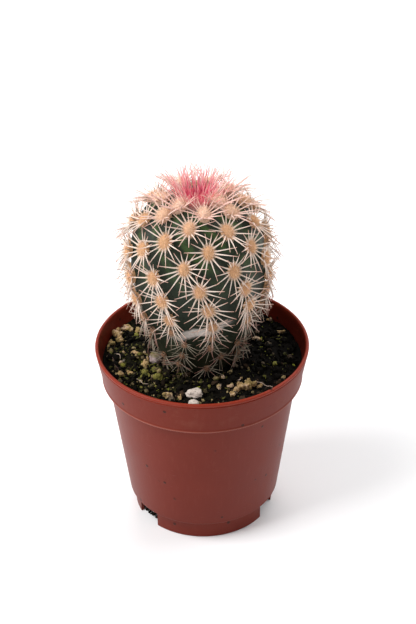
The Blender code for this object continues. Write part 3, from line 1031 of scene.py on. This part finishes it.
moss_leaf, place = new_finish("moss_leaf", 0.2)
luck = marked(place, "luck")
fine = noise_at(place, 1.5)
colour = layered(
    blend_colours(luck, (0.035, 0.038, 0.008), (0.14, 0.13, 0.022)),
    (between(luck, 0.93, 0.95), (0.27, 0.29, 0.03)),
    (0.5 * fine, (0.030, 0.026, 0.010)),
)
feed(moss_leaf, colour, 0.6 + 0.3 * fine, fine, 0.05 * MM)
settle(moss_flecks, moss_leaf, "moss")

# %% Sand and small stones
grit_models = [
    rough_lump(f"grit_{seed}", 1.0, 20 + seed, 2, ((0.7, 0.8), (0.3, 0.5))) for seed in range(3)
]
bits = scattered(grit_models, 170, (0.3 * MM, 1.25 * MM), chance, on_mossy_side, 0.15)
grit = join_as("grit", bits)
smooth(grit, 50.0)

grit_stone, place = new_finish("grit_stone", 0.3)
luck = marked(place, "luck")
fine = noise_at(place, 1.8, 4.0)
colour = layered(
    blend_colours(luck, (0.050, 0.034, 0.012), (0.36, 0.27, 0.12)),
    (between(luck, 0.40, 0.42) * between(luck, 0.56, 0.54), (0.17, 0.16, 0.02)),
    (between(luck, 0.95, 0.96), (0.52, 0.44, 0.37)),
    (0.6 * between(fine, 0.45, 0.7), (0.05, 0.035, 0.020)),
)
feed(grit_stone, colour, 0.65 + 0.3 * fine, fine, 0.15 * MM)
settle(grit, grit_stone, "mineral_crust")
for model in (*crumb_models, leaf, *grit_models):
    bpy.data.objects.remove(model)

# %% [markdown]
# ## Perlite, crusts, moss and stone
#
# A few bigger lumps lie on the soil. Perlite is a popped glass grain, so it is knobbly and white.
# The tan crusts are lime and old moss that dried into crumbly lumps: several balls are joined,
# a voxel remesh melts them into one skin, and fine displacement breaks that skin up.


# %% Lumps that lie on the soil
CRUMBLY = ((0.45, 0.55), (0.2, 0.25))


def lump_at(name, x, y, size, seed, subdivisions=4, lumps=CRUMBLY, rise=0.38):
    """One rough lump of a size (wide, deep, high) on the soil at x, y; all in mm.

    Its middle lies above the soil by rise, in shares of its height.
    """
    lump = rough_lump(name, 1.0, seed, subdivisions, lumps)
    scale = Vector(size) * MM
    height = ground_at(x * MM, y * MM) + rise * scale.z
    lump.data.transform(Matrix.Diagonal((*scale, 1.0)))
    lump.data.transform(Matrix.Translation((x * MM, y * MM, height)))
    return lump


def middle_of(node):
    """The middle of a plain piece, seen from above, in mm."""
    low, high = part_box(node)
    return Vector((low.x + high.x, low.y + high.y)) / 2.0 / MM


VOXEL = 0.13 * MM


def melted(name, lumps, break_up):
    """Joins lumps, melts them into one skin and breaks that up; break_up is (size, height)."""
    piece = join_as(name, lumps)
    shape_with(piece, "REMESH", mode="VOXEL", voxel_size=VOXEL)
    for size, height in break_up:
        roughen(piece, size * MM, height * MM)
    smooth(piece, 70.0)
    return piece


print("crusts are melted at", VOXEL / MM, "mm")


# %% Two grains of perlite
KNOBS = ((0.7, 0.3), (0.3, 0.14), (0.12, 0.05))
spot = middle_of("perlite_large") + Vector((-0.8, -1.2))
perlite_large = lump_at("perlite_grain_large", *spot, (4.1, 2.9, 2.4), 41, 5, KNOBS)
spot = middle_of("perlite_small")
perlite_small = lump_at("perlite_grain_small", *spot, (2.5, 2.0, 1.7), 42, 4, KNOBS)

perlite, place = new_finish("perlite", 0.25)
soft = noise_at(place, 0.7, 4.0)
# Small pits, pushed in by the bump and painted dark as shade inside them
shaded_pits = between(cells_at(place, 2.4), 0.30, 0.12) * between(noise_at(place, 0.9), 0.4, 0.6)
colour = blend_colours(soft, (0.44, 0.36, 0.31), (0.66, 0.58, 0.51))
colour = blend_colours(0.7 * shaded_pits, colour, (0.20, 0.16, 0.12))
feed(perlite, colour, 0.7 + 0.25 * soft, soft - 0.8 * shaded_pits, 0.25 * MM)
for grain, node in ((perlite_large, "perlite_large"), (perlite_small, "perlite_small")):
    smooth(grain, 70.0)
    settle(grain, perlite, "perlite", node)

# %% Crusts of lime
# Each row is one lump: its place from the middle of the plain piece, and its size, in mm
CRUST_LEFT = (
    (-0.3, 4.6, (3.2, 1.9, 1.7)),
    (-2.9, 1.6, (3.0, 2.4, 2.5)),
    (-2.2, -0.7, (2.3, 1.7, 1.7)),
    (2.7, 3.6, (2.0, 1.7, 1.7)),
    (-4.4, -2.0, (2.0, 1.5, 1.7)),
    (-5.0, -3.9, (0.9, 1.3, 1.2)),
    (-4.9, -5.5, (0.8, 1.2, 0.8)),
    (-1.5, -2.4, (0.9, 0.9, 1.0)),
)
CRUST_FRONT = (
    (-2.9, -3.1, (1.4, 1.9, 1.5)),
    (-2.0, -1.6, (1.6, 1.8, 2.3)),
    (-0.7, -0.6, (2.1, 1.8, 3.0)),
    (0.9, -0.2, (2.3, 2.1, 2.9)),
    (2.4, 0.3, (1.8, 1.3, 2.2)),
    (3.9, 0.4, (1.8, 0.9, 1.2)),
    (-0.6, 2.5, (0.8, 0.8, 1.7)),
)
# These have no plain piece, so their places are from the middle of the pot
STRAY_CRUSTS = (
    (-14.3, 2.0, (2.0, 1.1, 1.1)),
    (-14.6, -3.3, (2.3, 1.8, 1.7)),
    (-13.9, -1.5, (0.9, 0.9, 2.2)),
    (-17.4, 1.4, (2.1, 1.6, 1.5)),
    (-21.1, -8.4, (2.3, 1.5, 1.5)),
    (-18.3, -7.2, (1.9, 1.2, 1.3)),
    (-20.9, -3.0, (1.2, 1.5, 1.3)),
    (-24.3, 0.3, (0.9, 1.3, 0.8)),
    (-20.4, 2.3, (1.0, 0.8, 0.8)),
    (-8.7, -17.2, (2.4, 1.8, 1.9)),
    (-5.7, -18.6, (1.1, 2.0, 1.2)),
    (4.2, -13.4, (1.4, 1.6, 1.2)),
    (5.3, -9.6, (1.1, 0.8, 1.3)),
    (7.0, -13.0, (2.0, 1.0, 0.9)),
    (14.4, 7.4, (2.4, 1.4, 1.3)),
    (20.6, 10.6, (2.6, 1.5, 1.3)),
    (18.0, 16.3, (1.7, 1.1, 1.0)),
)
CRUMBS_IN_CLUMP = 7


def clump(name, x, y, size, seed):
    """Small rough lumps heaped round a bigger one; all in mm."""
    heap = random.Random(seed)
    wide, deep, high = size
    core = (0.8 * wide, 0.8 * deep, 0.8 * high)
    lumps = [lump_at(name, x, y, core, seed, 3)]
    for number in range(CRUMBS_IN_CLUMP):
        away = heap.uniform(0.22, 0.40)
        turn = number * GOLDEN + seed
        share = heap.uniform(0.30, 0.46)
        part = (share * wide, share * deep, 1.3 * share * high)
        spot = (x + away * wide * math.cos(turn), y + away * deep * math.sin(turn))
        lumps.append(lump_at(name, *spot, part, seed + number, 3, CRUMBLY, heap.uniform(0.3, 1.3)))
    return lumps


def crust_piece(name, rows, seed, middle=(0.0, 0.0)):
    lumps = []
    for number, (x, y, size) in enumerate(rows):
        lumps += clump(name, middle[0] + x, middle[1] + y, size, seed + 3 * number)
    return melted(name, lumps, ((0.5, 0.3), (0.22, 0.14)))


crust_left = crust_piece("crust_lumps_left", CRUST_LEFT, 50, middle_of("crust_left"))
crust_front = crust_piece("crust_arch_front", CRUST_FRONT, 80, middle_of("crust_front"))
crust_strays = crust_piece("crust_strays", STRAY_CRUSTS, 110)

mineral_crust, place = new_finish("mineral_crust", 0.2)
soft = noise_at(place, 0.45, 3.0)
fine = noise_at(place, 2.6, 4.0, 0.7)
mossy = between(noise_at(place, 0.3), 0.50, 0.62)
colour = layered(
    blend_colours(soft, (0.38, 0.24, 0.09), (0.50, 0.34, 0.18)),
    (between(soft, 0.50, 0.64), (0.58, 0.41, 0.29)),
    (0.85 * between(fine, 0.50, 0.36), (0.10, 0.065, 0.018)),
    (0.4 * mossy, (0.24, 0.21, 0.05)),
)
feed(mineral_crust, colour, 0.75 + 0.2 * fine, fine, 0.3 * MM)
settle(crust_left, mineral_crust, "mineral_crust", "crust_left")
settle(crust_front, mineral_crust, "mineral_crust", "crust_front")
settle(crust_strays, mineral_crust, "mineral_crust")

# %% Ball of moss
MOSS_TUFTS = (
    (0.1, -0.8, (2.6, 2.1, 2.1)),
    (-0.8, 3.8, (1.2, 0.8, 0.9)),
    (0.4, 3.5, (0.8, 1.4, 0.7)),
    (-0.2, 2.4, (1.0, 0.7, 0.7)),
    (-3.2, 1.8, (1.9, 1.5, 1.4)),
    (-4.0, 0.2, (0.8, 1.5, 0.8)),
    (-2.1, 0.8, (0.7, 1.4, 0.8)),
    (-4.8, 9.7, (1.3, 1.0, 1.1)),
    (-10.3, 10.6, (0.9, 0.8, 0.8)),
    (-5.9, 3.4, (0.7, 0.6, 0.7)),
    (-0.3, -4.1, (0.9, 0.7, 0.7)),
    (-4.0, -4.1, (0.9, 0.7, 0.6)),
)
moss_middle = middle_of("moss_ball")
MOSS_LUMPS = ((0.3, 0.25), (0.14, 0.12))
moss_lumps = []
for number, (x, y, size) in enumerate(MOSS_TUFTS):
    spot = moss_middle + Vector((x, y))
    moss_lumps.append(lump_at("moss_tuft", *spot, size, 140 + number, 4, MOSS_LUMPS))
moss_ball = melted("moss_tuft", moss_lumps, ((0.3, 0.14),))
moss, place = new_finish("moss", 0.15)
fine = noise_at(place, 3.0, 3.0, 0.7)
colour = blend_colours(between(fine, 0.35, 0.65), (0.065, 0.060, 0.010), (0.27, 0.24, 0.06))
feed(moss, colour, 0.8 + 0.2 * fine, fine, 0.3 * MM)
settle(moss_ball, moss, "moss", "moss_ball")

# %% Pinkish stone with moss on its head
spot = middle_of("pink_stone") + Vector((0.5, -0.8))
stone = lump_at("stone_grain", *spot, (2.7, 2.5, 3.2), 121, 5, ((0.9, 0.5), (0.35, 0.12)))
smooth(stone, 70.0)
pink_stone, place = new_finish("pink_stone", 0.3)
soft = noise_at(stretched(place, (1.0, 1.0, 0.25)), 1.6, 4.0)
fine = noise_at(place, 3.0, 3.0)
colour = blend_colours(between(soft, 0.3, 0.7), (0.22, 0.15, 0.14), (0.46, 0.37, 0.36))
head = between(axis_of(place, "Z") + 1.2 * (fine - 0.5), 46.7, 47.6)
colour = blend_colours(0.9 * head, colour, (0.15, 0.125, 0.03))
feed(pink_stone, colour, 0.6 + 0.3 * fine, fine, 0.1 * MM)
settle(stone, pink_stone, "pink_stone", "pink_stone")

# %% [markdown]
# ## Roots and fibres
#
# Peat is full of dead roots. Each is a bent line, drawn by extruding a point step by step, and
# thickened by the Skin modifier. A round tube would look like wire; Skin keeps each joint a
# little uneven.


# %% Fibres
def fibre(name, points, thick, thin, seed):
    """A dead root through (x, y, height above the soil) points, all in mm."""
    bends = random.Random(seed)
    places = []
    for first, last in zip(points, points[1:]):
        for step in range(4):
            x, y, z = [a + (b - a) * step / 4.0 + bends.gauss(0.0, 0.06) for a, b in zip(first, last)]
            places.append(Vector((x * MM, y * MM, ground_at(x * MM, y * MM) + z * MM)))
    piece = draw_line(name, places)
    leave()
    skin = piece.modifiers.new("SKIN", "SKIN")
    rows = piece.data.skin_vertices[0].data
    for number, row in enumerate(rows):
        width = (thick + (thin - thick) * number / len(places)) * bends.uniform(0.8, 1.2)
        row.radius = (width, width)
    rows[0].use_root = True
    pick(piece)
    bpy.ops.object.modifier_apply(modifier=skin.name)
    shape_with(piece, "SUBSURF", levels=1, render_levels=1)
    smooth(piece)
    return piece


TWIG = ((-23.2, -0.6, 0.6), (-22.6, -3.0, 1.0), (-21.6, -5.2, 0.6), (-20.9, -7.4, 0.2))
ROOTS = (
    ((13.4, -12.6, 1.5), (15.6, -14.0, 1.3), (18.3, -15.5, 0.9)),
    ((-22.8, 1.4, 0.3), (-21.3, 0.2, 1.0), (-21.0, -1.5, 0.5)),
    ((4.3, -12.5, 0.2), (4.7, -13.4, 1.2), (3.9, -14.6, 0.2)),
    ((8.8, -11.2, 0.2), (9.6, -12.2, 1.4), (8.7, -13.1, 1.6)),
    ((10.0, 2.0, 0.3), (12.2, 1.0, 0.9), (12.9, -1.6, 0.3)),
    ((-16.6, -9.4, 0.2), (-15.2, -11.8, 0.8), (-13.0, -12.6, 0.3)),
)
twig = fibre("twig", TWIG, 0.19 * MM, 0.10 * MM, 3)
roots = [fibre("root", row, 0.13 * MM, 0.06 * MM, 5 + seed) for seed, row in enumerate(ROOTS)]
pale_roots = join_as("pale_roots", roots)
ROOT_COLOURS = (
    ("root_brown", twig, (0.030, 0.014, 0.012), (0.110, 0.060, 0.050)),
    ("root_pale", pale_roots, (0.26, 0.17, 0.12), (0.56, 0.45, 0.37)),
)
for name, piece, dark, light in ROOT_COLOURS:
    finish, place = new_finish(name, 0.25)
    fine = noise_at(place, 2.2, 3.0)
    feed(finish, blend_colours(fine, dark, light), 0.6 + 0.3 * fine, fine, 0.08 * MM)
    settle(piece, finish, "potting_soil")

# %% [markdown]
# ## The areoles
#
# Each areole is a cushion of tan felt with a comb of about sixteen spines. It could be a flat
# star, but from the side the spines must stand off the skin. So one spine, one bristle and one
# cushion are modelled, and the rest are copies: the bristles cover the cushion, and the spines
# are set round it one by one, with small differences in length, lift and angle. All areoles of
# a rib become one piece.

# %% One spine, along Z, that bends towards X
SPINE_LENGTH = 6.0 * MM


def bent_spine(name, sides, thick, thin, bend, rings):
    """A thin cone cut into rings, each pushed further over than the last one."""
    shape = {"vertices": sides, "radius1": thick, "radius2": thin, "depth": SPINE_LENGTH}
    middle = (0.0, 0.0, SPINE_LENGTH / 2.0)
    spine = start(bpy.ops.mesh.primitive_cone_add, name, location=middle, **shape)
    edit(spine, "VERT")
    for ring in range(1, rings):
        bpy.ops.mesh.select_all(action="SELECT")
        height = SPINE_LENGTH * ring / rings
        bpy.ops.mesh.bisect(plane_co=(0.0, 0.0, height), plane_no=(0.0, 0.0, 1.0))
    for ring in range(1, rings + 1):
        level = SPINE_LENGTH * (ring - 0.5) / rings
        select_points(spine, lambda point: point.z > level)
        over = bend * (2.0 * ring - 1.0) / rings**2
        bpy.ops.transform.translate(value=(over, 0.0, 0.0))
    leave()
    smooth(spine, 75.0)
    mark(spine, "along", [vertex.co.z / SPINE_LENGTH for vertex in spine.data.vertices])
    tell(spine)
    return spine


spine_model = bent_spine("spine", 6, 0.215 * MM, 0.06 * MM, 0.6 * MM, 4)
bristle_model = bent_spine("bristle", 3, 0.30 * MM, 0.06 * MM, 0.9 * MM, 2)


# %% Axes for a copy
def aimed(place, direction, towards):
    """Axes at a place: Z along a direction, X as near to another one as it can be."""
    along = direction.normalized()
    side = (towards - along * towards.dot(along)).normalized()
    axes = Matrix((side, along.cross(side), along)).transposed().to_4x4()
    axes.translation = place
    return axes


def sized(length, thickness):
    """Scales a spine to a length in metres and a share of its thickness."""
    return Matrix.Diagonal((thickness, thickness, length / SPINE_LENGTH, 1.0))


print("a spine is modelled", SPINE_LENGTH / MM, "mm long")


# %% One cushion of felt, with its bristles
CUSHION = Vector((2.8, 3.8, 2.6)) * MM
BRISTLES = 190
chance = random.Random(5)
shape = {"segments": 18, "ring_count": 10, "radius": 0.5}
cushion = start(bpy.ops.mesh.primitive_uv_sphere_add, "cushion", **shape)
edit(cushion, "VERT", "SELECT")
bpy.ops.transform.resize(value=CUSHION, center_override=(0.0, 0.0, 0.0))
bpy.ops.mesh.select_all(action="SELECT")
flat_cut = {"plane_co": (0.0, 0.0, -0.5 * MM), "plane_no": (0.0, 0.0, 1.0)}
bpy.ops.mesh.bisect(use_fill=True, clear_inner=True, **flat_cut)
leave()
smooth(cushion)
mark(cushion, "felt", np.ones(len(cushion.data.vertices)))
bristles = [cushion]
for number in range(BRISTLES):
    rise = 1.0 - 0.95 * (number + 0.5) / BRISTLES
    turn = number * GOLDEN
    out = Vector((math.cos(turn), math.sin(turn), 0.0)) * math.sqrt(1.0 - rise * rise)
    out.z = rise
    root = Vector([0.46 * side * part for side, part in zip(CUSHION, out)])
    lean = Vector([chance.gauss(0.0, 0.22) for _ in range(3)]) + out
    axes = aimed(root, lean, Vector((lean.x, lean.y, -0.6)))
    size = sized(chance.uniform(0.6, 1.1) * MM, 0.20)
    bristles.append(copy_of(bristle_model, axes @ size, felt=1.0))
cushion = join_as("cushion", bristles)
tell(cushion)

# %% One comb of spines
SPINES = 16
SPINE_REACH = 6.1 * MM
LIFT = math.radians(29.0)
YOUNG_LIFT = math.radians(19.0)
OLD_ARC = (34.0 * MM, 46.0 * MM)
YOUNG_ARC = (6.0 * MM, 15.0 * MM)


def grow_areole(arc, azimuth, chance):
    """The cushion and the spines of one areole, as copies in place."""
    here = on_skin(arc, azimuth)
    young = 1.0 - soft_step(*YOUNG_ARC, arc)
    old = soft_step(*OLD_ARC, arc)
    marks = {"blush": young, "age": old}
    size = (1.0 - 0.5 * old) * chance.uniform(0.94, 1.06)
    size *= 1.0 + 0.14 * young
    cushion_axes = here @ Matrix.Rotation(chance.gauss(0.0, 0.05), 4, "Z")
    cushion_axes @= Matrix.Diagonal((1.05 * size, size, size * (1.0 + 0.3 * young), 1.0))
    copies = [copy_of(cushion, cushion_axes, luck=chance.random(), **marks)]
    count = SPINES - round(4.0 * old)
    for number in range(count):
        angle = 2.0 * math.pi * (number + 0.5 + chance.gauss(0.0, 0.13)) / count
        upward = math.cos(angle)
        lift = LIFT + YOUNG_LIFT * young + chance.gauss(0.0, 0.07)
        shorter = 0.34 + 0.26 * young
        reach = SPINE_REACH * (1.0 - shorter * max(0.0, upward) - 0.04 * max(0.0, -upward))
        reach *= (1.0 + 0.16 * young - 0.30 * old) * chance.uniform(0.90, 1.08)
        flat = Vector((math.sin(angle), math.cos(angle), 0.0))
        direction = flat * math.cos(lift) + Vector((0.0, 0.0, math.sin(lift)))
        root = Vector((flat.x * 0.30 * CUSHION.x, flat.y * 0.30 * CUSHION.y, 0.25 * MM)) * size
        axes = here @ aimed(root, direction, Vector((0.0, 0.0, -1.0)))
        thick = (1.0 - 0.35 * old) * chance.uniform(0.85, 1.15)
        copies.append(copy_of(spine_model, axes @ sized(reach, thick), luck=chance.random(), **marks))
    return copies


print("a comb has", SPINES, "spines of about", SPINE_REACH / MM, "mm")


# %% All areoles, one piece for each rib
chance = random.Random(23)
ribs_of_spines = []
for rib, places in AREOLES.items():
    copies = []
    for arc, azimuth in places:
        copies += grow_areole(arc, azimuth, chance)
    ribs_of_spines.append(join_as(f"spines_of_rib_{rib + 1}", copies))
    print("rib", rib + 1, "has", len(places), "areoles")

# %% [markdown]
# Felt is a warm tan. The spines are cream, with a brownish pink towards the point. Young ones
# blush pink all over, and the old ones on the neck have turned greyish brown.

# %% Felt and spines
areole_spines, place = new_finish("areole_spines", 0.3)
along, felt, luck, blush, age = [
    marked(place, name) for name in ("along", "felt", "luck", "blush", "age")
]
fine = noise_at(place, 2.0, 3.0)
spine_colour = layered(
    blend_colours(luck, (0.80, 0.66, 0.56), (0.86, 0.74, 0.66)),
    (0.75 * between(along, 0.55, 1.0), (0.64, 0.31, 0.23)),
    (0.55 * blush, (0.90, 0.52, 0.47)),
    (0.85 * age, blend_colours(between(luck, 0.7, 0.85), (0.22, 0.20, 0.14), (0.27, 0.11, 0.08))),
)
felt_colour = layered(
    blend_colours(along, (0.66, 0.39, 0.21), (0.94, 0.74, 0.54)),
    (0.6 * blush, (0.95, 0.76, 0.66)),
    (0.8 * age, (0.30, 0.16, 0.10)),
)
colour = blend_colours(felt, spine_colour, felt_colour)
colour = blend_colours(0.25 * fine, colour, (0.70, 0.55, 0.45), "MULTIPLY")
feed(areole_spines, colour, 0.45 + 0.3 * felt + 0.15 * fine, fine, 0.04 * MM)
for rib, piece in enumerate(ribs_of_spines):
    nodes = [f"spines_rib{rib + 1:02d}_row{row + 1}" for row in range(AREOLES_IN_MODEL)]
    settle(piece, areole_spines, "areole_spines", *nodes)

# %% [markdown]
# ## The tuft on the crown
#
# The growing point is hidden by young spines that stand on end. They sit in the golden angle,
# as the plant's own spiral does: short and deep magenta in the middle, longer, paler and more
# spread towards the edge, where they lie over the first areoles.

# %% Young spines
YOUNG_SPINES = 200
TUFT_ARC = 4.2 * MM
young_model = bent_spine("young_spine", 5, 0.18 * MM, 0.05 * MM, 0.35 * MM, 4)
chance = random.Random(31)
young_spines = []
for number in range(YOUNG_SPINES):
    share = math.sqrt((number + 0.5) / YOUNG_SPINES)
    arc = TUFT_ARC * share
    azimuth = number * GOLDEN + chance.gauss(0.0, 0.08)
    here = on_skin(arc, azimuth)
    outward = Vector((math.sin(azimuth), -math.cos(azimuth), 0.0))
    lean = math.radians(5.0 + 38.0 * share) + chance.gauss(0.0, 0.13)
    swerve = Vector((-outward.y, outward.x, 0.0)) * chance.gauss(0.0, 0.12)
    direction = outward * math.sin(lean) + Vector((0.0, 0.0, math.cos(lean))) + swerve
    length = (2.0 + 5.4 * soft_step(0.05, 0.6, share)) * chance.uniform(0.75, 1.15) * MM
    length *= 1.0 - 0.40 * max(0.0, math.cos(azimuth))
    axes = aimed(here.translation - here.col[2].xyz * 0.4 * MM, direction, -outward + swerve * 4.0)
    marks = {"heart": 1.0 - share, "luck": chance.random()}
    size = sized(length, chance.uniform(0.8, 1.2))
    young_spines.append(copy_of(young_model, axes @ size, **marks))
tuft = join_as("tuft_of_young_spines", young_spines)

young_pink, place = new_finish("young_pink", 0.3)
along, heart, luck = [marked(place, name) for name in ("along", "heart", "luck")]
fine = noise_at(place, 2.0, 3.0)
colour = layered(
    blend_colours(luck, (0.94, 0.66, 0.60), (0.97, 0.86, 0.78)),
    (between(luck, 0.60, 0.40) * 0.85, (0.90, 0.30, 0.33)),
    (between(heart, 0.15, 0.6) * between(along, 1.2, 0.3), (0.78, 0.10, 0.22)),
    (between(heart, 0.5, 0.85) * between(along, 0.8, 0.1), (0.42, 0.008, 0.05)),
    (0.5 * between(along, 0.6, 1.0), (0.80, 0.34, 0.30)),
)
feed(young_pink, colour, 0.4 + 0.2 * fine, fine, 0.03 * MM)
settle(tuft, young_pink, "young_spines", "crown_tuft")
for model in (spine_model, bristle_model, cushion, young_model):
    bpy.data.objects.remove(model)
